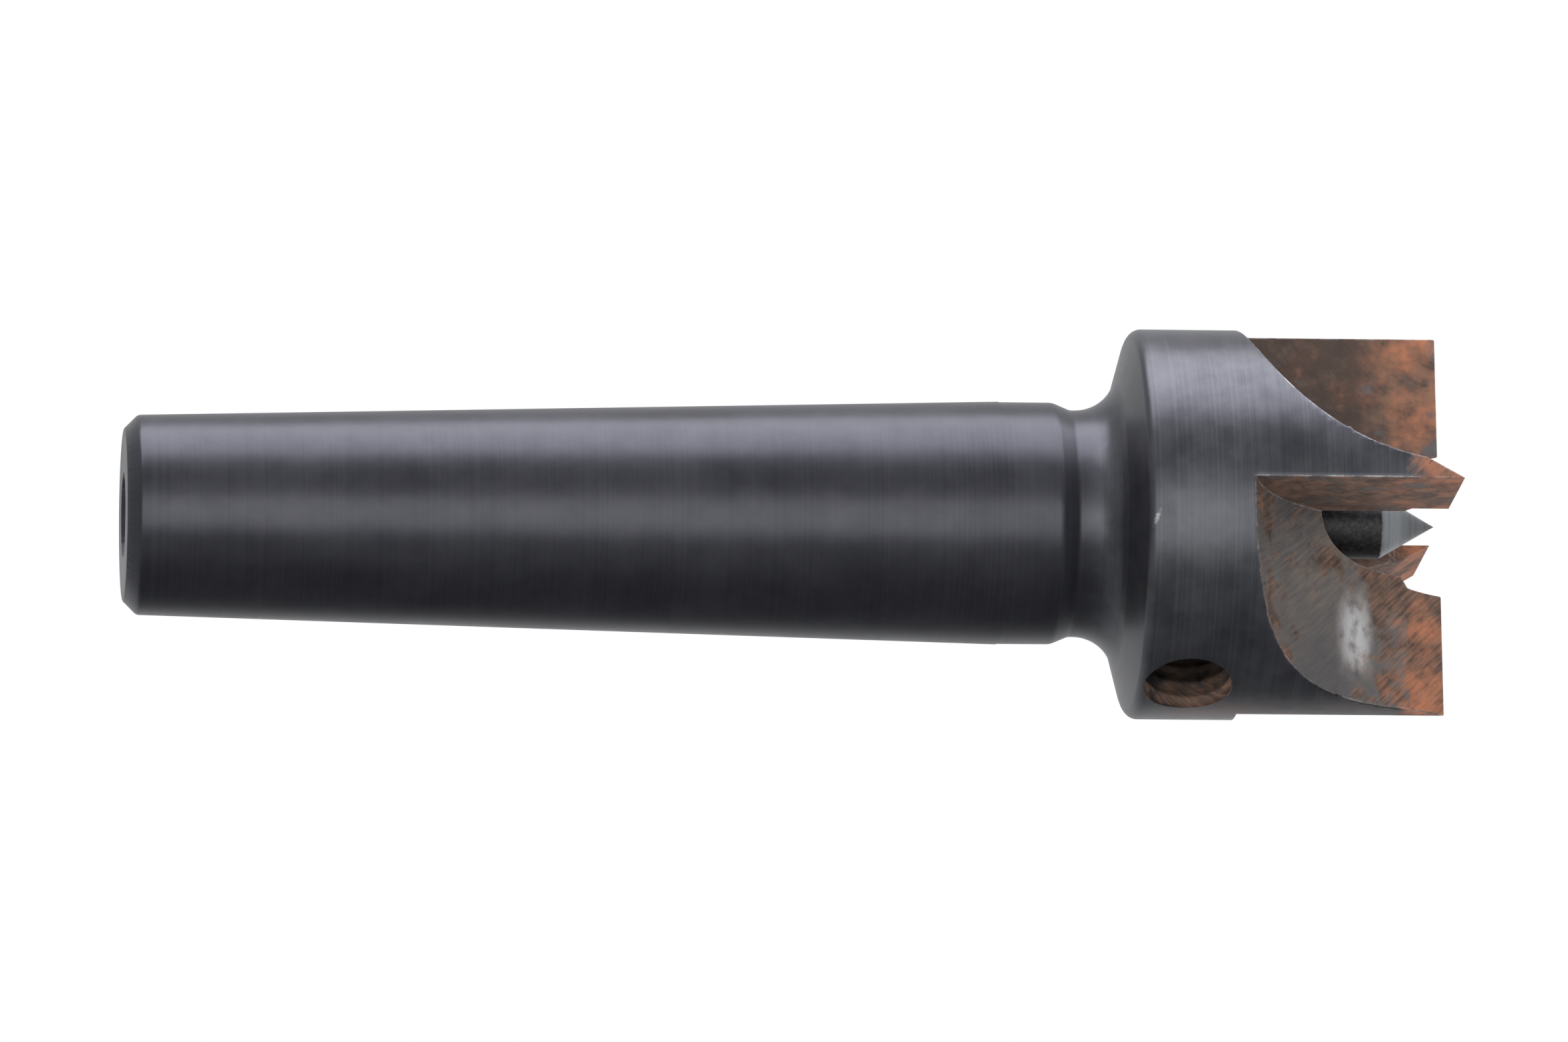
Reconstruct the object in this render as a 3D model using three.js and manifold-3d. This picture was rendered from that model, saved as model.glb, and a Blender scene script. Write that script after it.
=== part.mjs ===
// A spur drive centre, the live centre of a wood lathe, in millimetres, with +Z up.
//
// X is the axis of the centre. The origin lies on it at the gauge line of the Morse taper,
// where the shank enters the spindle nose. The shank runs towards -X, and the head, its
// four spurs and the point face +X.

import * as THREE from 'three';
import { mergeVertices } from 'three/addons/utils/BufferGeometryUtils.js';
import Module from 'manifold-3d';

const wasm = await Module();
wasm.setup();

// Morse taper number 2
const GAUGE_RADIUS = 17.78 / 2;
const TAPER_PER_MM = 0.049951 / 2;
const SHANK_LENGTH = 64;
const SHANK_CHAMFER = 1.0;
const CENTRE_DRILL_RADIUS = 3.15;
const CENTRE_DRILL_HALF_ANGLE = rad(30);

// neck, groove and the back of the head
const NECK_RADIUS = 8.85;
const NECK_END = 3.9;
const GROOVE_RADIUS = 8.3;
const GROOVE_START = 5.2;
const FILLET_RADIUS = 3.2;
const FILLET_START = 5.6;
const FILLET_TURN = rad(72);
const HEAD_RADIUS = 28.575 / 2;
const HEAD_EDGE_RADIUS = 0.9;
const HEAD_START = 10.4;

// the spurs and the flutes between them
const TIP = 32.65;
const SPURS = 4;
const SPUR_CLOCKING = rad(12.5);
const FLUTE_RADIUS = 15.875;
const FLUTE_CENTRE = TIP + 0.3;
const WEB = 1.3;
const FACET_ANGLE = rad(30);
const FACET_DEPTH = 2.5;

// the bore around the point
const RELIEF_RADIUS = 5.25;
const RELIEF_DEPTH = 2.7;
const BORE_RADIUS = 4.5;
const BORE_DEPTH = 11;
const DRILL_HALF_ANGLE = rad(59);

// the point, a straight pin with a cone
const POINT_RADIUS = 4.76 / 2;
const POINT_LENGTH = 25.4;
const POINT_TIP = TIP - 0.45;
const POINT_HALF_ANGLE = rad(30);
const POINT_CHAMFER = 0.3;
const POINT_CLEARANCE = 0.1;
const POINT_HOLE_RADIUS = POINT_RADIUS + POINT_CLEARANCE;
const POINT_HOLE_SPARE = 1.5;
const FLAT_DEPTH = 0.7;
const FLAT_START = 13.5;

// the set screw and its hole
const SCREW_RADIUS = 6.1 / 2;
const SCREW_LENGTH = 7.9;
const SCREW_X = TIP - 19.5;
const SCREW_ANGLE = rad(58);
const SCREW_CHAMFER = 0.6;
const SCREW_HOLE_RADIUS = 6.35 / 2;
const SCREW_HOLE_MOUTH = 3.3;
const FOOT_GAP = 0.3;
const SCREW_FOOT = POINT_RADIUS - FLAT_DEPTH + FOOT_GAP;
const SOCKET_ACROSS_FLATS = 3.175;
const SOCKET_DEPTH = 3.2;

const ROUND_STEPS = 72;
const PIN_STEPS = 48;
const FLUTE_STEPS = 20;
const FILLET_STEPS = 6;
const HEAD_EDGE_STEPS = 4;
const HEX_SIDES = 6;
const CLEAR = 2;
const WELD_DISTANCE = 1e-4;

const BLACK_OXIDE = { color: 0x3c3d42, roughness: 0.45, metalness: 0.9 };
const BRIGHT_STEEL = { color: 0x8d9194, roughness: 0.35, metalness: 1.0 };
const DARK_SCREW = { color: 0x2a2420, roughness: 0.6, metalness: 0.8 };

function rad(degrees) {
  return (degrees * Math.PI) / 180;
}

// A list of [x, radius] points turned about the X axis.
function turned(outline, steps) {
  const points = outline.map(([x, radius]) => new THREE.Vector2(Math.max(radius, 0), x));
  return new THREE.LatheGeometry(points, steps).rotateZ(-Math.PI / 2);
}

// Points of an arc about a centre, from one angle to another.
function arc([cx, cy], radius, from, to, steps) {
  return Array.from({ length: steps + 1 }, (_, i) => {
    const angle = from + ((to - from) * i) / steps;
    return [cx + radius * Math.cos(angle), cy + radius * Math.sin(angle)];
  });
}

// An outline in X and Y, drawn out along Z from one height to another.
function prism(outline, from, to) {
  const shape = new THREE.Shape(outline.map(([x, y]) => new THREE.Vector2(x, y)));
  const settings = { depth: to - from, bevelEnabled: false };
  return new THREE.ExtrudeGeometry(shape, settings).translate(0, 0, from);
}

function toSolid(geometry) {
  const bare = geometry.clone();
  bare.deleteAttribute('normal');
  bare.deleteAttribute('uv');
  const merged = mergeVertices(bare, WELD_DISTANCE);
  return new wasm.Manifold(new wasm.Mesh({
    numProp: 3,
    vertProperties: new Float32Array(merged.attributes.position.array),
    triVerts: new Uint32Array(merged.index.array),
  }));
}

function toMesh(name, solid, finish) {
  const { vertProperties, triVerts } = solid.getMesh();
  const geometry = new THREE.BufferGeometry();
  geometry.setAttribute('position', new THREE.BufferAttribute(vertProperties, 3));
  geometry.setIndex(new THREE.BufferAttribute(triVerts, 1));
  geometry.computeVertexNormals();
  const mesh = new THREE.Mesh(geometry, new THREE.MeshStandardMaterial(finish));
  mesh.name = name;
  return mesh;
}

// Shank, neck and head as one turned piece, with the hole for the point already in it.
function turnedBody() {
  const endRadius = GAUGE_RADIUS - TAPER_PER_MM * SHANK_LENGTH;
  const drillDepth = CENTRE_DRILL_RADIUS / Math.tan(CENTRE_DRILL_HALF_ANGLE);
  const fillet = arc([FILLET_START, GROOVE_RADIUS + FILLET_RADIUS], FILLET_RADIUS,
    -Math.PI / 2, -Math.PI / 2 + FILLET_TURN, FILLET_STEPS);
  const edge = arc([HEAD_START, HEAD_RADIUS - HEAD_EDGE_RADIUS], HEAD_EDGE_RADIUS,
    Math.PI / 2 + FILLET_TURN, Math.PI / 2, HEAD_EDGE_STEPS);
  const boreStart = TIP - BORE_DEPTH;
  const reliefStart = TIP - RELIEF_DEPTH;
  const reliefCone = (RELIEF_RADIUS - BORE_RADIUS) / Math.tan(DRILL_HALF_ANGLE);
  const boreCone = (BORE_RADIUS - POINT_HOLE_RADIUS) / Math.tan(DRILL_HALF_ANGLE);
  const holeEnd = POINT_TIP - POINT_LENGTH - POINT_HOLE_SPARE;
  const holeCone = POINT_HOLE_RADIUS / Math.tan(DRILL_HALF_ANGLE);
  return turned([
    [-SHANK_LENGTH + drillDepth, 0],
    [-SHANK_LENGTH, CENTRE_DRILL_RADIUS],
    [-SHANK_LENGTH, endRadius - SHANK_CHAMFER],
    [-SHANK_LENGTH + SHANK_CHAMFER, endRadius],
    [0, GAUGE_RADIUS],
    [0, NECK_RADIUS],
    [NECK_END, NECK_RADIUS],
    [GROOVE_START, GROOVE_RADIUS],
    ...fillet,
    ...edge,
    [TIP, HEAD_RADIUS],
    [TIP, RELIEF_RADIUS],
    [reliefStart, RELIEF_RADIUS],
    [reliefStart - reliefCone, BORE_RADIUS],
    [boreStart, BORE_RADIUS],
    [boreStart - boreCone, POINT_HOLE_RADIUS],
    [holeEnd, POINT_HOLE_RADIUS],
    [holeEnd - holeCone, 0],
  ], ROUND_STEPS);
}

// The space that a disc cutter leaves: flat against one spur's driving face at z = 0, and
// rounded up from the web behind the next spur to the outside of the head.
function fluteCutter() {
  const top = HEAD_RADIUS + CLEAR;
  const centre = WEB + FLUTE_RADIUS;
  const sideAngle = Math.PI + Math.asin((centre - top) / FLUTE_RADIUS);
  const floor = arc([FLUTE_CENTRE, centre], FLUTE_RADIUS, sideAngle, 1.5 * Math.PI, FLUTE_STEPS);
  return prism([...floor, [TIP + CLEAR, WEB], [TIP + CLEAR, top]], 0, top);
}

// The slope behind a spur's chisel edge, from the edge at y = 0 back to the flute floor.
function facetCutter() {
  const back = FACET_DEPTH / Math.tan(FACET_ANGLE);
  const outline = [[TIP, 0], [TIP + CLEAR, 0], [TIP + CLEAR, FACET_DEPTH], [TIP - back, FACET_DEPTH]];
  return prism(outline, RELIEF_RADIUS / 2, HEAD_RADIUS + CLEAR);
}

// Turns a cutter drawn with y across a driving face and z out along the next spur.
function aboutAxis(geometry, index) {
  const quarter = (2 * Math.PI) / SPURS;
  return geometry.clone().rotateX(quarter - SPUR_CLOCKING + index * quarter);
}

// Turns a piece drawn along +X so that it stands out of the head along the screw's axis.
function alongScrew(geometry) {
  return geometry.rotateZ(Math.PI / 2).rotateX(Math.PI + SCREW_ANGLE).translate(SCREW_X, 0, 0);
}

function screwHoleCutter() {
  const mouthDepth = SCREW_HOLE_MOUTH - SCREW_HOLE_RADIUS;
  return alongScrew(turned([
    [0, 0],
    [0, SCREW_HOLE_RADIUS],
    [HEAD_RADIUS - mouthDepth, SCREW_HOLE_RADIUS],
    [HEAD_RADIUS + CLEAR, SCREW_HOLE_MOUTH + CLEAR],
    [HEAD_RADIUS + CLEAR, 0],
  ], PIN_STEPS));
}

function centreBody() {
  let solid = toSolid(turnedBody());
  for (let spur = 0; spur < SPURS; spur += 1) {
    solid = solid.subtract(toSolid(aboutAxis(fluteCutter(), spur)));
    solid = solid.subtract(toSolid(aboutAxis(facetCutter(), spur)));
  }
  solid = solid.subtract(toSolid(screwHoleCutter()));
  return toMesh('center_body', solid, BLACK_OXIDE);
}

function centrePoint() {
  const coneLength = POINT_RADIUS / Math.tan(POINT_HALF_ANGLE);
  const end = POINT_TIP - POINT_LENGTH;
  const pin = turned([
    [end, 0],
    [end, POINT_RADIUS - POINT_CHAMFER],
    [end + POINT_CHAMFER, POINT_RADIUS],
    [POINT_TIP - coneLength, POINT_RADIUS],
    [POINT_TIP, 0],
  ], PIN_STEPS);
  const flatLength = FLAT_START + CLEAR;
  const flat = new THREE.BoxGeometry(flatLength, 2 * POINT_RADIUS, 2 * POINT_RADIUS);
  flat.translate(end - CLEAR + flatLength / 2, 2 * POINT_RADIUS - FLAT_DEPTH, 0);
  flat.rotateX(Math.PI + SCREW_ANGLE);
  return toMesh('center_point', toSolid(pin).subtract(toSolid(flat)), BRIGHT_STEEL);
}

function setScrew() {
  const top = SCREW_FOOT + SCREW_LENGTH;
  const screw = alongScrew(turned([
    [SCREW_FOOT, 0],
    [SCREW_FOOT, SCREW_RADIUS - SCREW_CHAMFER],
    [SCREW_FOOT + SCREW_CHAMFER, SCREW_RADIUS],
    [top - SCREW_CHAMFER, SCREW_RADIUS],
    [top, SCREW_RADIUS - SCREW_CHAMFER],
    [top, 0],
  ], PIN_STEPS));
  const socketRadius = SOCKET_ACROSS_FLATS / 2 / Math.cos(Math.PI / HEX_SIDES);
  const socket = new THREE.CylinderGeometry(socketRadius, socketRadius, 2 * SOCKET_DEPTH, HEX_SIDES);
  const atTop = alongScrew(socket.rotateZ(-Math.PI / 2).translate(top, 0, 0));
  return toMesh('point_set_screw', toSolid(screw).subtract(toSolid(atTop)), DARK_SCREW);
}

const spurCentre = new THREE.Group();
spurCentre.add(centreBody(), centrePoint(), setScrew());

export default spurCentre;
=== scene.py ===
"""A spur drive centre, the live centre of a wood lathe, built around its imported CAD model.

The pieces are drawn in millimetres, about the X axis, and scaled to metres when they are done.
+X runs from the tapered shank to the spurs. The origin is at the taper's gauge line.
"""
import math

import bmesh
import bpy
from mathutils import Matrix, Vector


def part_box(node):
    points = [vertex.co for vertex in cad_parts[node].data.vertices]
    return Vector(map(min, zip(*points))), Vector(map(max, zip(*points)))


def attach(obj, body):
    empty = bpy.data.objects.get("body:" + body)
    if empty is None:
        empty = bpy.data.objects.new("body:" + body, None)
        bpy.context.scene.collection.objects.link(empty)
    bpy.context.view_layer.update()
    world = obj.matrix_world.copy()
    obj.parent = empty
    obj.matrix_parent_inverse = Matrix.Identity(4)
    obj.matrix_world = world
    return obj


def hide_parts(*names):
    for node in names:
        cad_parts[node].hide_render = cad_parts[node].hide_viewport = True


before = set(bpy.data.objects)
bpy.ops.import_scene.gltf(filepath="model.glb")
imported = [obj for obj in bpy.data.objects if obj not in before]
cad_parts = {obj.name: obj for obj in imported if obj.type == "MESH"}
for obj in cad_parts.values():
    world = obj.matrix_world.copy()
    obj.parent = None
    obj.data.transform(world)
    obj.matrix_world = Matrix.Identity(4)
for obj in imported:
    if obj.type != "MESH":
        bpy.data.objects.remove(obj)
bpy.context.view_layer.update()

MM = 0.001


def box_in_mm(node):
    low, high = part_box(node)
    return low / MM, high / MM


body_low, body_high = box_in_mm("center_body")
point_low, point_high = box_in_mm("center_point")

# shank, neck and head
TIP = body_high.x
SHANK_END = body_low.x
HEAD_RADIUS = 28.575 / 2
GAUGE_RADIUS = 17.78 / 2
TAPER_PER_MM = 0.049951 / 2
SHANK_CHAMFER = 1.0
CENTRE_DRILL_RADIUS = 3.15
CENTRE_DRILL_HALF_ANGLE = math.radians(30)
NECK_RADIUS = 8.85
NECK_END = 3.9
GROOVE_RADIUS = 8.3
GROOVE_START = 5.2
FILLET_RADIUS = 3.2
FILLET_START = 5.6
FILLET_TURN = math.radians(72)
HEAD_EDGE_RADIUS = 0.9
HEAD_START = 10.4

# spurs and flutes
SPURS = 4
SPUR_CLOCKING = math.radians(12.5)
FLUTE_RADIUS = 15.875
FLUTE_CENTRE = TIP + 0.3
WEB = 1.3
FACET_ANGLE = math.radians(30)
FACET_DEPTH = 2.5

# bore around the point, and the point itself
RELIEF_RADIUS = 5.25
RELIEF_DEPTH = 2.7
BORE_RADIUS = 4.5
BORE_DEPTH = 11
DRILL_HALF_ANGLE = math.radians(59)
POINT_RADIUS = 4.76 / 2
POINT_HALF_ANGLE = math.radians(30)
POINT_CHAMFER = 0.3
POINT_CLEARANCE = 0.08
POINT_HOLE_RADIUS = POINT_RADIUS + POINT_CLEARANCE
POINT_HOLE_SPARE = 1.5
FLAT_DEPTH = 0.7
FLAT_LENGTH = 13.5
FLAT_RAMP = 0.6

# set screw and its tapped hole
THREAD_PITCH = 1.27
THREAD_DEPTH = 0.62
THREAD_FLANK_SLOPE = 2.6
THREAD_CREST_FLAT = 0.3
HOLE_THREAD_DEPTH = 0.15
SCREW_RADIUS = 6.1 / 2
SCREW_LENGTH = 7.9
SCREW_X = TIP - 19.5
SCREW_ANGLE = math.radians(58)
SCREW_CHAMFER = 0.6
FOOT_GAP = 0.3
SCREW_FOOT = POINT_RADIUS - FLAT_DEPTH + FOOT_GAP
THREAD_CLEARANCE = 0.1
SCREW_HOLE_MOUTH = 3.3
SOCKET_ACROSS_FLATS = 3.175
SOCKET_DEPTH = 3.2

# a small nick in the head's back edge, facing the front
NICK_PLACE = (HEAD_START - 0.3, -HEAD_RADIUS, 0.0)

# fineness
ROUND_STEPS = 180
HEAD_RINGS = 40
PIN_STEPS = 96
FLUTE_STEPS = 36
THREAD_STEPS = 72
THREAD_ROWS_PER_PITCH = 16
TINY = 1e-6
MERGE_DISTANCE = 1e-5
CLEAR = 2
EDGE_BREAK = 0.11
SLIVER = 0.06
SHARP = math.radians(24)
SHADED_SHARP = math.radians(32)
EDGE_SLOT = 1


def mesh_object(name, mesh):
    piece = bpy.data.objects.new(name, mesh)
    bpy.context.scene.collection.objects.link(piece)
    return piece


def from_faces(name, points, faces):
    mesh = bpy.data.meshes.new(name)
    mesh.from_pydata(points, [], faces)
    work = bmesh.new()
    work.from_mesh(mesh)
    bmesh.ops.remove_doubles(work, verts=work.verts, dist=MERGE_DISTANCE)
    bmesh.ops.recalc_face_normals(work, faces=work.faces)
    work.to_mesh(mesh)
    work.free()
    return mesh_object(name, mesh)


def turned(name, outline, steps):
    """A closed outline of (x, radius) points, from axis to axis, turned about X."""
    points, rings = [], []
    for x, radius in outline:
        first = len(points)
        if radius < TINY:
            points.append((x, 0, 0))
            rings.append([first] * steps)
            continue
        for i in range(steps):
            angle = 2 * math.pi * i / steps
            points.append((x, radius * math.cos(angle), radius * math.sin(angle)))
        rings.append(list(range(first, first + steps)))
    faces = []
    for a, b in zip(rings, rings[1:]):
        for i in range(steps):
            j = (i + 1) % steps
            corners = list(dict.fromkeys((a[i], a[j], b[j], b[i])))
            if len(corners) > 2:
                faces.append(corners)
    return from_faces(name, points, faces)


def arc(centre, radius, start, end, steps):
    angles = [start + (end - start) * i / steps for i in range(steps + 1)]
    return [(centre[0] + radius * math.cos(a), centre[1] + radius * math.sin(a)) for a in angles]


def rounded(outline, steps=3):
    """Turns each (x, y, radius) corner into a small arc; a corner with no radius stays sharp."""
    result = []
    for i, corner in enumerate(outline):
        here = Vector(corner[:2])
        radius = corner[2] if len(corner) > 2 else 0
        if radius == 0 or i in (0, len(outline) - 1):
            result.append(tuple(here))
            continue
        before = (Vector(outline[i - 1][:2]) - here).normalized()
        after = (Vector(outline[i + 1][:2]) - here).normalized()
        half = before.angle(after) / 2
        reach = radius / math.tan(half)
        centre = here + (before + after).normalized() * (radius / math.sin(half))
        first, last = here + before * reach - centre, here + after * reach - centre
        turn = first.angle_signed(last)
        for k in range(steps + 1):
            spoke = first.copy()
            spoke.rotate(Matrix.Rotation(-turn * k / steps, 2))
            result.append(tuple(centre + spoke))
    return result


def prism(name, outline, low, high):
    count = len(outline)
    points = [(x, y, low) for x, y in outline] + [(x, y, high) for x, y in outline]
    faces = [list(range(count)), list(range(count, 2 * count))]
    faces += [(i, (i + 1) % count, (i + 1) % count + count, i + count) for i in range(count)]
    return from_faces(name, points, faces)


def threaded(name, start, end, radius, depth, chamfer, mouth=None):
    """A threaded rod along X. Its thread runs out in a chamfer at each end, or in a wide mouth."""
    rows = round((end - start) / THREAD_PITCH * THREAD_ROWS_PER_PITCH)

    def radius_at(x, share):
        phase = (x / THREAD_PITCH - share) % 1
        groove = min(max(abs(phase - 0.5) * THREAD_FLANK_SLOPE - THREAD_CREST_FLAT, 0), 1)
        plain = radius - depth * groove
        if mouth:
            return max(plain, mouth - (end - x))
        return min(plain, radius - chamfer + (x - start), radius - chamfer + (end - x))

    points = [(start, 0, 0)]
    for k in range(rows + 1):
        x = start + (end - start) * k / rows
        for i in range(THREAD_STEPS):
            r = radius_at(x, i / THREAD_STEPS)
            angle = 2 * math.pi * i / THREAD_STEPS
            points.append((x, r * math.cos(angle), r * math.sin(angle)))
    points.append((end, 0, 0))
    faces = []
    for k in range(rows):
        first = 1 + k * THREAD_STEPS
        for i in range(THREAD_STEPS):
            a, b = first + i, first + (i + 1) % THREAD_STEPS
            faces.append((a, b, b + THREAD_STEPS, a + THREAD_STEPS))
    last = 1 + rows * THREAD_STEPS
    for i in range(THREAD_STEPS):
        faces.append((0, 1 + i, 1 + (i + 1) % THREAD_STEPS))
        faces.append((len(points) - 1, last + i, last + (i + 1) % THREAD_STEPS))
    return from_faces(name, points, faces)


def move(piece, matrix):
    piece.data.transform(matrix)
    return piece


def cut(piece, cutter):
    """Takes cutter's shape out of piece, and removes cutter."""
    modifier = piece.modifiers.new("cut", "BOOLEAN")
    modifier.operation = "DIFFERENCE"
    modifier.solver = "EXACT"
    modifier.object = cutter
    graph = bpy.context.evaluated_depsgraph_get()
    cut_mesh = bpy.data.meshes.new_from_object(piece.evaluated_get(graph))
    piece.modifiers.clear()
    piece.data = cut_mesh
    bpy.data.objects.remove(cutter)
    return piece


def break_edges(piece, low, width):
    """Bevels the sharp edges whose ends both lie beyond x = low."""
    work = bmesh.new()
    work.from_mesh(piece.data)
    bmesh.ops.remove_doubles(work, verts=work.verts, dist=SLIVER)
    bmesh.ops.dissolve_degenerate(work, edges=work.edges, dist=1e-4)
    sharp = [
        edge for edge in work.edges
        if edge.is_manifold and edge.calc_face_angle() > SHARP
        and min(v.co.x for v in edge.verts) > low
    ]
    bmesh.ops.bevel(work, geom=sharp, offset=width, offset_type="OFFSET", segments=2, profile=0.6,
                    affect="EDGES", clamp_overlap=False, material=EDGE_SLOT)
    bmesh.ops.recalc_face_normals(work, faces=work.faces)
    work.to_mesh(piece.data)
    work.free()


def turned_body():
    end_radius = GAUGE_RADIUS + TAPER_PER_MM * SHANK_END
    drill_depth = CENTRE_DRILL_RADIUS / math.tan(CENTRE_DRILL_HALF_ANGLE)
    fillet = arc((FILLET_START, GROOVE_RADIUS + FILLET_RADIUS), FILLET_RADIUS,
                 -math.pi / 2, -math.pi / 2 + FILLET_TURN, 12)
    edge = arc((HEAD_START, HEAD_RADIUS - HEAD_EDGE_RADIUS), HEAD_EDGE_RADIUS,
               math.pi / 2 + FILLET_TURN, math.pi / 2, 8)
    relief_start = TIP - RELIEF_DEPTH
    relief_cone = (RELIEF_RADIUS - BORE_RADIUS) / math.tan(DRILL_HALF_ANGLE)
    bore_start = TIP - BORE_DEPTH
    bore_cone = (BORE_RADIUS - POINT_HOLE_RADIUS) / math.tan(DRILL_HALF_ANGLE)
    hole_end = point_low.x - POINT_HOLE_SPARE
    hole_cone = POINT_HOLE_RADIUS / math.tan(DRILL_HALF_ANGLE)
    ring_step = (TIP - HEAD_START) / HEAD_RINGS
    rings = [(HEAD_START + i * ring_step, HEAD_RADIUS) for i in range(1, HEAD_RINGS)]
    outline = rounded([
        (SHANK_END + drill_depth, 0),
        (SHANK_END, CENTRE_DRILL_RADIUS, 0.12),
        (SHANK_END, end_radius - SHANK_CHAMFER, 0.2),
        (SHANK_END + SHANK_CHAMFER, end_radius, 0.5),
        (-0.08, GAUGE_RADIUS, 0.03),
        (0, NECK_RADIUS, 0.03),
        (NECK_END, NECK_RADIUS, 1.2),
        (GROOVE_START, GROOVE_RADIUS, 0.8),
        *fillet,
        *edge,
        *rings,
        (TIP, HEAD_RADIUS),
        (TIP, RELIEF_RADIUS),
        (relief_start, RELIEF_RADIUS),
        (relief_start - relief_cone, BORE_RADIUS),
        (bore_start, BORE_RADIUS),
        (bore_start - bore_cone, POINT_HOLE_RADIUS, 0.1),
        (hole_end, POINT_HOLE_RADIUS),
        (hole_end - hole_cone, 0),
    ])
    return turned("center_body_steel", outline, ROUND_STEPS)


def flute_cutter():
    """The disc cutter's space: driving face at z = 0, and a floor that rises to the outside."""
    top = HEAD_RADIUS + CLEAR
    centre = WEB + FLUTE_RADIUS
    side = math.pi + math.asin((centre - top) / FLUTE_RADIUS)
    floor = arc((FLUTE_CENTRE, centre), FLUTE_RADIUS, side, 1.5 * math.pi, FLUTE_STEPS)
    return prism("flute", [*floor, (TIP + CLEAR, WEB), (TIP + CLEAR, top)], 0, top)


def facet_cutter():
    """The slope behind a chisel edge."""
    back = FACET_DEPTH / math.tan(FACET_ANGLE)
    outline = [(TIP, 0), (TIP + CLEAR, 0), (TIP + CLEAR, FACET_DEPTH), (TIP - back, FACET_DEPTH)]
    return prism("facet", outline, RELIEF_RADIUS / 2, HEAD_RADIUS + CLEAR)


def spur_turn(index):
    quarter = 2 * math.pi / SPURS
    return Matrix.Rotation(quarter - SPUR_CLOCKING + index * quarter, 4, "X")


def screw_place():
    """From a piece drawn along X, with the head's axis at x = 0, to the screw's axis."""
    return (Matrix.Translation((SCREW_X, 0, 0))
            @ Matrix.Rotation(math.pi + SCREW_ANGLE, 4, "X")
            @ Matrix.Rotation(math.pi / 2, 4, "Z"))


def centre_body():
    piece = turned_body()
    for spur in range(SPURS):
        cut(piece, move(flute_cutter(), spur_turn(spur)))
        cut(piece, move(facet_cutter(), spur_turn(spur)))
    piece.data.materials.append(None)
    piece.data.materials.append(None)
    break_edges(piece, HEAD_START + 1, EDGE_BREAK)
    # the hole's thread stands clear of the screw's, because the screw slides without turning
    root = SCREW_RADIUS + THREAD_CLEARANCE + HOLE_THREAD_DEPTH
    hole = threaded("hole", 0, HEAD_RADIUS + THREAD_PITCH, root, HOLE_THREAD_DEPTH, 0,
                    SCREW_HOLE_MOUTH + THREAD_PITCH)
    cut(piece, move(hole, screw_place()))
    mark_surfaces(piece)
    return piece


def centre_point():
    cone = POINT_RADIUS / math.tan(POINT_HALF_ANGLE)
    end, tip = point_low.x, point_high.x
    piece = turned("center_point_pin", rounded([
        (end, 0),
        (end, POINT_RADIUS - POINT_CHAMFER, 0.08),
        (end + POINT_CHAMFER, POINT_RADIUS, 0.1),
        (tip - cone, POINT_RADIUS, 0.12),
        (tip, 0),
    ]), PIN_STEPS)
    half = POINT_RADIUS * 2
    low = POINT_RADIUS - FLAT_DEPTH
    flat = prism("flat", [(end - CLEAR, low), (end + FLAT_LENGTH, low),
                          (end + FLAT_LENGTH + FLAT_RAMP, half), (end - CLEAR, half)], -half, half)
    return cut(piece, move(flat, Matrix.Rotation(math.pi + SCREW_ANGLE, 4, "X")))


def set_screw():
    top = SCREW_FOOT + SCREW_LENGTH
    piece = threaded("point_set_screw_steel", SCREW_FOOT, top, SCREW_RADIUS, THREAD_DEPTH, SCREW_CHAMFER)
    radius = SOCKET_ACROSS_FLATS / 2 / math.cos(math.pi / 6)
    hexagon = arc((0, 0), radius, 0, 2 * math.pi * 5 / 6, 5)
    socket = prism("socket", hexagon, top - SOCKET_DEPTH, top + CLEAR)
    cut(piece, move(socket, Matrix.Rotation(math.pi / 2, 4, "Y")))
    return move(piece, screw_place())


def surface_at(centre, normal):
    """Which surface of the tool a face is on, and the turn that lays its flute flat."""
    radius = math.hypot(centre.y, centre.z)
    to_screw = screw_place().inverted()
    place, facing = to_screw @ centre, to_screw.to_3x3() @ normal
    from_screw = math.hypot(place.y, place.z)
    if place.x > 0 and from_screw < SCREW_HOLE_MOUTH + 0.5:
        if facing.y * place.y + facing.z * place.z < -0.5 * from_screw:
            return "hole", None
    if centre.x < TIP - FLUTE_RADIUS or radius > HEAD_RADIUS - 0.04:
        return "turned", None
    if radius < RELIEF_RADIUS + 0.15:
        inward = (normal.y * centre.y + normal.z * centre.z) / max(radius, TINY)
        if inward < -0.4:
            return "bore", None
    for spur in range(SPURS):
        back = spur_turn(spur).inverted()
        place, facing = back @ centre, back.to_3x3() @ normal
        in_flute = min(place.y, place.z) > -0.15 and min(facing.y, facing.z) > -0.3
        if in_flute:
            if facing.z > 0.8:
                return "driving", back
            slope = facing.x * math.sin(FACET_ANGLE) + facing.y * math.cos(FACET_ANGLE)
            if slope > 0.998 and place.x > TIP - FACET_DEPTH * 2:
                return "facet", back
            return "floor", back
    return "turned", None


def grain_at(point, surface, back):
    """Coordinates in millimetres along and across the tool marks of a surface."""
    if surface == "hole":
        return screw_place().inverted() @ point
    if back is None:
        angle = math.atan2(point.z, point.y)
        return Vector((point.x, angle * HEAD_RADIUS, math.hypot(point.y, point.z)))
    local = back @ point
    if surface == "driving":
        away = Vector((local.x - FLUTE_CENTRE, local.y - WEB - FLUTE_RADIUS))
        return Vector((away.length, math.atan2(away.y, away.x) * FLUTE_RADIUS, local.y))
    return Vector((local.x, local.z, local.y))


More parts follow.
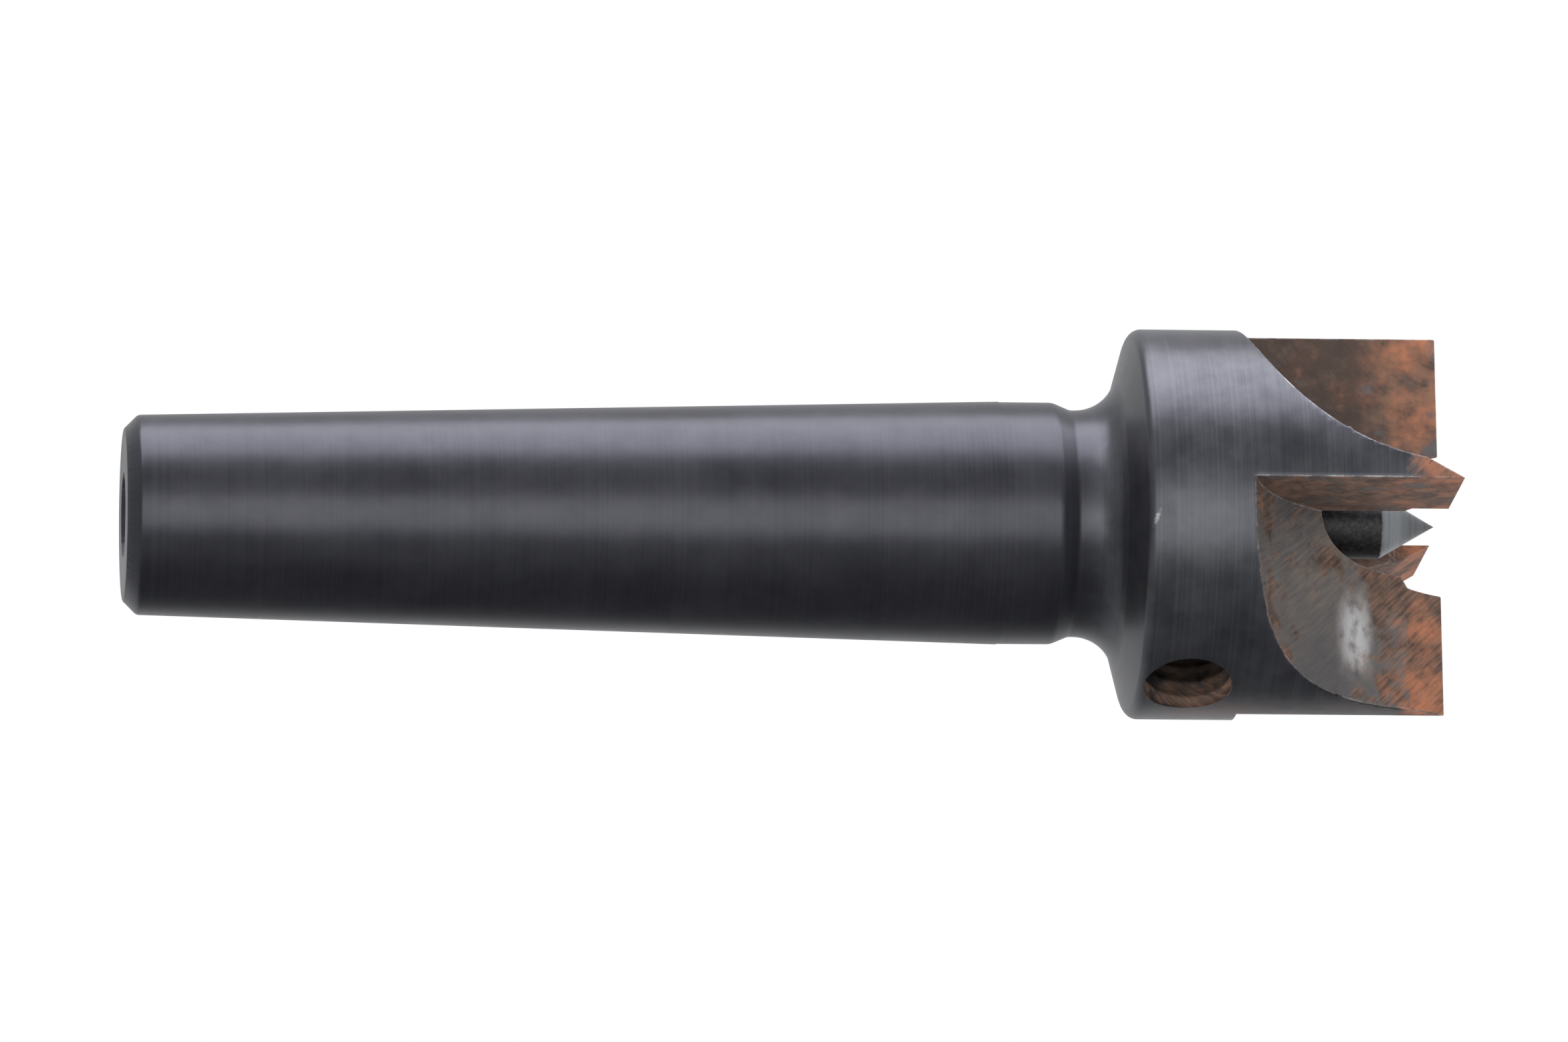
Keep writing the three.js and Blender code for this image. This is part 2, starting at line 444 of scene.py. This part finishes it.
def mark_surfaces(piece):
    """Writes which surface each face is on, and its grain, for the material to read."""
    mesh = piece.data
    zones = mesh.attributes.new("zones", "FLOAT_COLOR", "CORNER")
    wear = mesh.attributes.new("wear", "FLOAT_COLOR", "CORNER")
    grain = mesh.attributes.new("grain", "FLOAT_VECTOR", "CORNER")
    for face in mesh.polygons:
        surface, back = surface_at(face.center, face.normal)
        zone = (surface == "floor", surface == "driving", surface == "facet", 1)
        marks = (face.material_index == EDGE_SLOT, surface in ("bore", "hole"), surface == "hole", 1)
        for corner in face.loop_indices:
            zones.data[corner].color = zone
            wear.data[corner].color = marks
            point = mesh.vertices[mesh.loops[corner].vertex_index].co
            grain.data[corner].vector = grain_at(point, surface, back)
        face.material_index = 0


def finish_piece(piece, body, node, material):
    piece.data.materials.clear()
    piece.data.materials.append(material)
    piece.data.transform(Matrix.Scale(MM, 4))
    piece.data.shade_smooth()
    piece.data.set_sharp_from_angle(angle=SHADED_SHARP)
    modifier = piece.modifiers.new("even shading", "WEIGHTED_NORMAL")
    modifier.keep_sharp = True
    modifier.weight = 90
    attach(piece, body)
    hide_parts(node)


class Finish:
    """A material's node tree, built with short calls. A value may be a number, a colour or a socket."""

    def __init__(self, name):
        self.material = bpy.data.materials.new(name)
        self.material.use_nodes = True
        self.tree = self.material.node_tree
        self.shader = self.tree.nodes["Principled BSDF"]
        place = self.add("ShaderNodeTexCoord").outputs["Object"]
        self.place = self.vector("SCALE", place, scale=1 / MM)
        self.x, self.y, self.z = self.split(self.place)
        self.radius = self.vector("LENGTH", self.join(0.0, self.y, self.z), output="Value")

    def add(self, kind, inputs=(), **settings):
        node = self.tree.nodes.new(kind)
        for key, value in settings.items():
            setattr(node, key, value)
        for socket, value in inputs:
            self.feed(node.inputs[socket], value)
        return node

    def feed(self, socket, value):
        if isinstance(value, bpy.types.NodeSocket):
            self.tree.links.new(value, socket)
        elif isinstance(value, tuple) and len(value) == 3 and socket.type == "RGBA":
            socket.default_value = (*value, 1)
        else:
            socket.default_value = value

    def split(self, value):
        return tuple(self.add("ShaderNodeSeparateXYZ", [(0, value)]).outputs)

    def join(self, x, y, z):
        return self.add("ShaderNodeCombineXYZ", [(0, x), (1, y), (2, z)]).outputs[0]

    def vector(self, operation, a, b=None, scale=None, output="Vector"):
        inputs = [(0, a)]
        if b is not None:
            inputs.append((1, b))
        if scale is not None:
            inputs.append(("Scale", scale))
        return self.add("ShaderNodeVectorMath", inputs, operation=operation).outputs[output]

    def math(self, operation, a, b=0.0):
        return self.add("ShaderNodeMath", [(0, a), (1, b)], operation=operation).outputs[0]

    def sum(self, *values):
        total = values[0]
        for value in values[1:]:
            total = self.math("ADD", total, value)
        return total

    def times(self, *values):
        total = values[0]
        for value in values[1:]:
            total = self.math("MULTIPLY", total, value)
        return total

    def most(self, *values):
        total = values[0]
        for value in values[1:]:
            total = self.math("MAXIMUM", total, value)
        return total

    def without(self, value):
        return self.math("SUBTRACT", 1.0, value)

    def between(self, value, low, high):
        """A smooth step from 0 at low to 1 at high."""
        inputs = [("Value", value), ("From Min", low), ("From Max", high)]
        return self.add("ShaderNodeMapRange", inputs, interpolation_type="SMOOTHSTEP").outputs[0]

    def noise(self, vector, scale, detail, roughness):
        inputs = [("Vector", vector), ("Scale", scale), ("Detail", detail), ("Roughness", roughness)]
        return self.add("ShaderNodeTexNoise", inputs).outputs[0]

    def mix(self, factor, a, b):
        inputs = [("Factor", factor)]
        if isinstance(a, (int, float)) or getattr(a, "type", "") == "VALUE":
            node = self.add("ShaderNodeMix", inputs, data_type="FLOAT")
            self.feed(node.inputs[2], a)
            self.feed(node.inputs[3], b)
            return node.outputs[0]
        node = self.add("ShaderNodeMix", inputs, data_type="RGBA")
        self.feed(node.inputs[6], a)
        self.feed(node.inputs[7], b)
        return node.outputs[2]

    def attribute(self, name, output="Color"):
        return self.add("ShaderNodeAttribute", attribute_name=name).outputs[output]

    def bump(self, height, distance):
        inputs = [("Height", height), ("Distance", distance * MM), ("Strength", 1.0)]
        return self.add("ShaderNodeBump", inputs).outputs[0]

    def close(self, color, metallic, roughness, normal, specular=0.5):
        for socket, value in (("Base Color", color), ("Metallic", metallic), ("Roughness", roughness),
                              ("Normal", normal), ("Specular IOR Level", specular)):
            self.feed(self.shader.inputs[socket], value)
        return self.material

    def rings(self, per_mm):
        """Fine turning marks: they run round the axis, and change along it."""
        return self.noise(self.join(self.x, self.radius, 0.0), per_mm, 5.0, 0.75)

    def blotches(self, size, detail=4.0, offset=0.0):
        moved = self.vector("ADD", self.place, (offset, -offset, 2 * offset))
        return self.noise(moved, 1 / size, detail, 0.6)


# colours
OXIDE_DARK = (0.030, 0.031, 0.036)
OXIDE_LIGHT = (0.062, 0.063, 0.070)
NECK_OXIDE_AND_DARK_REFLECTION = (0.022, 0.022, 0.028)
HOLE_DARK = (0.012, 0.010, 0.009)
MILLED_GREY = (0.150, 0.129, 0.110)
RUST_DARK = (0.042, 0.032, 0.028)
RUST_BROWN = (0.150, 0.092, 0.064)
RUST_ORANGE = (0.290, 0.118, 0.064)
WORN_STEEL = (0.58, 0.57, 0.57)
CONE_STEEL = (0.30, 0.31, 0.32)


def rust_color(finish, streaks, orange=0.0):
    """Dark, brown and orange rust. A larger value of orange gives more of the orange."""
    fine = finish.blotches(1.5, 4.0, 31)
    broad = finish.blotches(3.0, 4.0, 57)
    grainy = finish.sum(finish.times(fine, 0.4), finish.times(streaks, 0.6))
    brown = finish.mix(finish.between(grainy, 0.34, 0.68), RUST_DARK, RUST_BROWN)
    bloom = finish.sum(finish.times(broad, 0.72), finish.times(streaks, 0.28), orange)
    return finish.mix(finish.between(bloom, 0.46, 0.78), brown, RUST_ORANGE)


def body_steel():
    finish = Finish("black_oxide_steel")
    floor, driving, facet = finish.split(finish.attribute("zones"))
    edge, inside, hole = finish.split(finish.attribute("wear"))
    grain = finish.attribute("grain", "Vector")
    along, across, _ = finish.split(grain)

    broad = finish.blotches(6.0, 3.0)
    mid = finish.blotches(1.6, 5.0, 13)
    fine = finish.blotches(0.25, 5.0, 71)
    rings = finish.rings(5.0)
    milled = finish.most(floor, driving, facet)

    # tool marks: slanting on the flute floors, arcs on the driving faces
    slant = finish.join(finish.math("ADD", along, across), finish.math("SUBTRACT", along, across), 0.0)
    slanting = finish.noise(finish.vector("MULTIPLY", slant, (3.2, 0.35, 1.0)), 1.0, 4.0, 0.6)
    arcs = finish.noise(finish.join(along, finish.times(across, 0.06), 0.0), 3.5, 4.0, 0.6)
    tool_marks = finish.mix(driving, slanting, arcs)

    tone = finish.sum(finish.times(rings, 0.35), finish.times(broad, 0.45), finish.times(mid, 0.2))
    oxide = finish.mix(finish.between(tone, 0.35, 0.65), OXIDE_DARK, OXIDE_LIGHT)
    # the neck and shank are darker: partly their own blacker oxide, partly painted shade standing in for
    # the dark surroundings the neck reflects
    neck = finish.between(finish.x, FILLET_START + 2.0, FILLET_START - 0.5)
    oxide = finish.mix(finish.times(neck, 0.6), oxide, NECK_OXIDE_AND_DARK_REFLECTION)
    marked = finish.sum(finish.times(tool_marks, 0.5), finish.times(broad, 0.5))
    bare = finish.mix(finish.between(marked, 0.25, 0.65), OXIDE_LIGHT, MILLED_GREY)
    upper = finish.times(milled, finish.between(finish.z, 4.0, 6.0))
    bare = finish.mix(finish.times(upper, 0.75), bare, OXIDE_LIGHT)
    base = finish.mix(milled, oxide, bare)

    # rust: on the ends of the spurs, the driving faces, the facets and in the holes
    ragged_x = finish.sum(finish.x, finish.times(mid, 3.4), finish.times(tool_marks, 2.0))
    spur_end = finish.between(ragged_x, TIP - 4.4, TIP - 1.8)
    open_to_rust = finish.most(milled, inside)
    chisel = finish.times(finish.between(ragged_x, TIP - 1.4, TIP + 0.2), finish.without(open_to_rust))
    flute_start = finish.between(finish.x, TIP - 10.5, TIP - 13.5)
    near_bore = finish.between(finish.radius, 8.5, 5.5)
    push = finish.sum(
        finish.times(driving, 0.20),
        finish.times(facet, 0.30),
        finish.times(inside, 0.16),
        finish.times(floor, finish.sum(finish.times(spur_end, 0.14), finish.times(flute_start, 0.10),
                                       finish.times(near_bore, 0.09))),
        finish.times(milled, -0.02),
    )
    level = finish.sum(finish.times(mid, 0.6), finish.times(broad, 0.4), push)
    rusty = finish.times(finish.between(level, 0.50, 0.68), open_to_rust)
    rusty = finish.most(rusty, finish.times(chisel, 0.9))
    outward = finish.between(finish.radius, HEAD_RADIUS * 0.4, HEAD_RADIUS)
    forward = finish.between(finish.x, TIP - 9.0, TIP)
    orange = finish.sum(
        finish.times(outward, 0.06),
        finish.times(forward, 0.12),
        finish.times(hole, -0.06),
        -0.06,
        finish.times(driving, -0.03),
        finish.times(upper, 0.02),
    )
    stained = finish.mix(finish.times(driving, 0.75), tool_marks, mid)
    color = finish.mix(rusty, base, rust_color(finish, stained, orange))
    spots = finish.sum(finish.times(broad, 0.5), finish.times(mid, 0.5))
    soot = finish.between(spots, 0.42, 0.56)
    sheltered = finish.between(finish.x, TIP - 3.0, TIP - 7.0)
    color = finish.mix(finish.times(upper, soot, sheltered, 0.85), color, RUST_DARK)
    cool = finish.times(floor, finish.between(across, 6.0, 13.0), finish.without(rusty))
    color = finish.mix(finish.times(cool, 0.6), color, OXIDE_LIGHT)
    # painted shade: the tapped hole turns near black deeper in
    painted_hole_shade = finish.times(hole, finish.between(along, HEAD_RADIUS - 1.5, HEAD_RADIUS - 3.0))
    color = finish.mix(finish.times(painted_hole_shade, 0.75), color, HOLE_DARK)

    # painted reflection: a brown tone under the back end of the head, in place of the brownish surroundings
    # it would reflect from behind and below
    painted_brown_reflection = finish.times(
        finish.between(finish.z, -12.4, -14.2),
        finish.between(finish.x, HEAD_START, HEAD_START + 3.0),
        finish.between(spots, 0.35, 0.6),
        finish.without(milled),
    )
    color = finish.mix(finish.times(painted_brown_reflection, 0.5), color, RUST_BROWN)

    # bright wear: broken edges, a nick in the head's back edge, and on each flute floor a bright spot that
    # is partly rubbed steel and partly a painted highlight
    from_nick = finish.vector("SUBTRACT", finish.place, NICK_PLACE)
    lean = finish.join(finish.times(finish.z, -0.35), 0.0, 0.0)
    from_nick = finish.vector("MULTIPLY", finish.vector("ADD", from_nick, lean), (2.4, 1.0, 0.8))
    nick_distance = finish.vector("LENGTH", from_nick, output="Value")
    nick = finish.between(finish.sum(nick_distance, finish.times(fine, 1.2)), 1.2, 0.6)
    rubbed_and_highlight_place = finish.times(
        finish.between(finish.x, TIP - 8.6, TIP - 7.0),
        finish.between(finish.x, TIP - 5.2, TIP - 6.6),
        finish.between(across, 5.0, 8.4),
        finish.between(across, 12.8, 9.4),
    )
    streaks = finish.noise(finish.vector("MULTIPLY", grain, (1.3, 0.7, 1.0)), 1.0, 3.0, 0.5)
    rubbed_and_highlight = finish.times(rubbed_and_highlight_place, floor, finish.between(streaks, 0.25, 0.62))
    patches = finish.sum(finish.times(mid, 0.7), finish.times(fine, 0.3))
    worn_edge = finish.times(edge, finish.between(patches, 0.42, 0.66))
    bright = finish.most(finish.times(rubbed_and_highlight, 0.9), finish.times(worn_edge, 0.2), finish.times(nick, 0.2))
    color = finish.mix(bright, color, WORN_STEEL)

    plain_metal = finish.mix(milled, 0.80, 0.55)
    metallic = finish.mix(bright, finish.mix(rusty, plain_metal, 0.20), 1.0)
    turned = finish.sum(finish.times(rings, 0.12), finish.times(broad, 0.14), 0.22)
    roughness = finish.mix(rusty, turned, 0.72)
    roughness = finish.mix(finish.times(milled, 0.6), roughness, 0.55)
    height = finish.sum(
        finish.times(rings, finish.without(milled), 0.08),
        finish.times(tool_marks, milled, 0.18),
        finish.times(fine, rusty, 0.35),
    )
    return finish.close(color, metallic, roughness, finish.bump(height, 0.06), finish.mix(rusty, 0.4, 0.1))


def point_steel():
    finish = Finish("bright_steel")
    cone = POINT_RADIUS / math.tan(POINT_HALF_ANGLE)
    rings = finish.rings(9.0)
    fine = finish.blotches(0.3, 5.0)
    ground = finish.between(finish.sum(finish.x, finish.times(fine, 0.2)),
                            point_high.x - cone + 0.05, point_high.x - cone + 0.25)
    dark = finish.mix(finish.between(fine, 0.4, 0.7), HOLE_DARK, OXIDE_DARK)
    light = finish.mix(finish.between(rings, 0.35, 0.65), (0.19, 0.20, 0.21), CONE_STEEL)
    color = finish.mix(ground, dark, light)
    roughness = finish.mix(ground, 0.5, finish.sum(finish.times(rings, 0.2), finish.times(fine, 0.1), 0.15))
    return finish.close(color, finish.mix(ground, 0.6, 1.0), roughness, finish.bump(rings, 0.01))


def screw_steel():
    finish = Finish("screw_steel")
    mid = finish.blotches(0.9, 5.0)
    fine = finish.blotches(0.2, 4.0, 9)
    rusty = finish.between(mid, 0.5, 0.62)
    oxide = finish.mix(fine, OXIDE_DARK, OXIDE_LIGHT)
    color = finish.mix(rusty, oxide, rust_color(finish, fine, -0.05))
    roughness = finish.mix(rusty, 0.45, 0.75)
    return finish.close(color, finish.mix(rusty, 0.8, 0.25), roughness, finish.bump(fine, 0.03))


def plain_material(name, color, metallic, roughness):
    material = bpy.data.materials.new(name)
    material.use_nodes = True
    shader = material.node_tree.nodes["Principled BSDF"]
    shader.inputs["Base Color"].default_value = (*color, 1)
    shader.inputs["Metallic"].default_value = metallic
    shader.inputs["Roughness"].default_value = roughness
    return material


def area_light(name, place, aim, size, power, color):
    light = bpy.data.lights.new(name, "AREA")
    light.shape = "RECTANGLE"
    light.size, light.size_y = size
    light.energy = power
    light.color = color
    lamp = bpy.data.objects.new(name, light)
    lamp.location = place
    lamp.rotation_mode = "QUATERNION"
    lamp.rotation_quaternion = (Vector(aim) - Vector(place)).to_track_quat("-Z", "Y")
    lamp.visible_camera = False
    bpy.context.scene.collection.objects.link(lamp)


def pale_floor(half=6.0, height=-0.078):
    """A plain floor that is only there from above, so that the tool can be seen from below too."""
    corners = [(-half, -half, height), (half, -half, height), (half, half, height), (-half, half, height)]
    floor = from_faces("studio_floor", corners, [(0, 1, 2, 3)])
    material = plain_material("pale_floor", (0.8, 0.8, 0.79), 0, 0.7)
    tree = material.node_tree
    clear = tree.nodes.new("ShaderNodeBsdfTransparent")
    side = tree.nodes.new("ShaderNodeNewGeometry")
    mix = tree.nodes.new("ShaderNodeMixShader")
    tree.links.new(side.outputs["Backfacing"], mix.inputs["Fac"])
    tree.links.new(tree.nodes["Principled BSDF"].outputs["BSDF"], mix.inputs[1])
    tree.links.new(clear.outputs["BSDF"], mix.inputs[2])
    tree.links.new(mix.outputs["Shader"], tree.nodes["Material Output"].inputs["Surface"])
    floor.data.materials.append(material)
    floor.visible_glossy = False


def room():
    """White where it is seen, and darker below the horizon in what the steel reflects."""
    world = bpy.data.worlds.new("pale_room")
    bpy.context.scene.world = world
    world.use_nodes = True
    tree = world.node_tree
    shade = tree.nodes["Background"]
    shade.inputs["Color"].default_value = (0.97, 0.98, 1.0, 1)
    seen = tree.nodes.new("ShaderNodeBackground")
    seen.inputs["Color"].default_value = (1, 1, 1, 1)
    direction = tree.nodes.new("ShaderNodeTexCoord")
    split = tree.nodes.new("ShaderNodeSeparateXYZ")
    ramp = tree.nodes.new("ShaderNodeMapRange")
    ramp.interpolation_type = "SMOOTHSTEP"
    ramp.inputs["From Min"].default_value = -1.0
    ramp.inputs["From Max"].default_value = -0.5
    ramp.inputs["To Min"].default_value = 0.13
    ramp.inputs["To Max"].default_value = 0.76
    path = tree.nodes.new("ShaderNodeLightPath")
    mix = tree.nodes.new("ShaderNodeMixShader")
    tree.links.new(direction.outputs["Generated"], split.inputs[0])
    tree.links.new(split.outputs["Z"], ramp.inputs["Value"])
    tree.links.new(ramp.outputs[0], shade.inputs["Strength"])
    tree.links.new(path.outputs["Is Camera Ray"], mix.inputs["Fac"])
    tree.links.new(shade.outputs["Background"], mix.inputs[1])
    tree.links.new(seen.outputs["Background"], mix.inputs[2])
    tree.links.new(mix.outputs["Shader"], tree.nodes["World Output"].inputs["Surface"])


def studio():
    pale_floor()
    room()
    area_light("overhead_softbox", (-0.02, 0.08, 0.9), (-0.02, 0.08, 0), (1.3, 0.85), 22, (0.93, 0.92, 1.0))
    area_light("front_softbox", (-0.3, -1.7, 0.08), (0, 0, 0), (2.4, 1.1), 28, (1.0, 1.0, 0.98))


def camera():
    """The photograph's view of the head, turned so that the whole tool fills the frame."""
    distance, azimuth, elevation, roll = 1.12, math.radians(-7.8), math.radians(-2.1), math.radians(0.35)
    tip = Vector((TIP * MM, 0, 0))
    back = Vector((math.sin(azimuth) * math.cos(elevation), -math.cos(azimuth) * math.cos(elevation),
                   math.sin(elevation)))
    place = tip + back * distance
    centre = Vector(((TIP + SHANK_END) / 2 * MM, 0, 0))
    view = bpy.data.cameras.new("camera")
    view.sensor_width = 36
    view.lens = 350
    view.clip_start, view.clip_end = 0.05, 50
    eye = bpy.data.objects.new("camera", view)
    eye.location = place
    eye.rotation_mode = "QUATERNION"
    aim = (centre - place).to_track_quat("-Z", "Y").to_matrix() @ Matrix.Rotation(roll, 3, "Z")
    eye.rotation_quaternion = aim.to_quaternion()
    bpy.context.scene.collection.objects.link(eye)
    bpy.context.scene.camera = eye


camera()
studio()
bpy.context.scene.view_settings.view_transform = "Standard"
finish_piece(centre_body(), "body", "center_body", body_steel())
finish_piece(centre_point(), "point", "center_point", point_steel())
finish_piece(set_screw(), "set_screw", "point_set_screw", screw_steel())
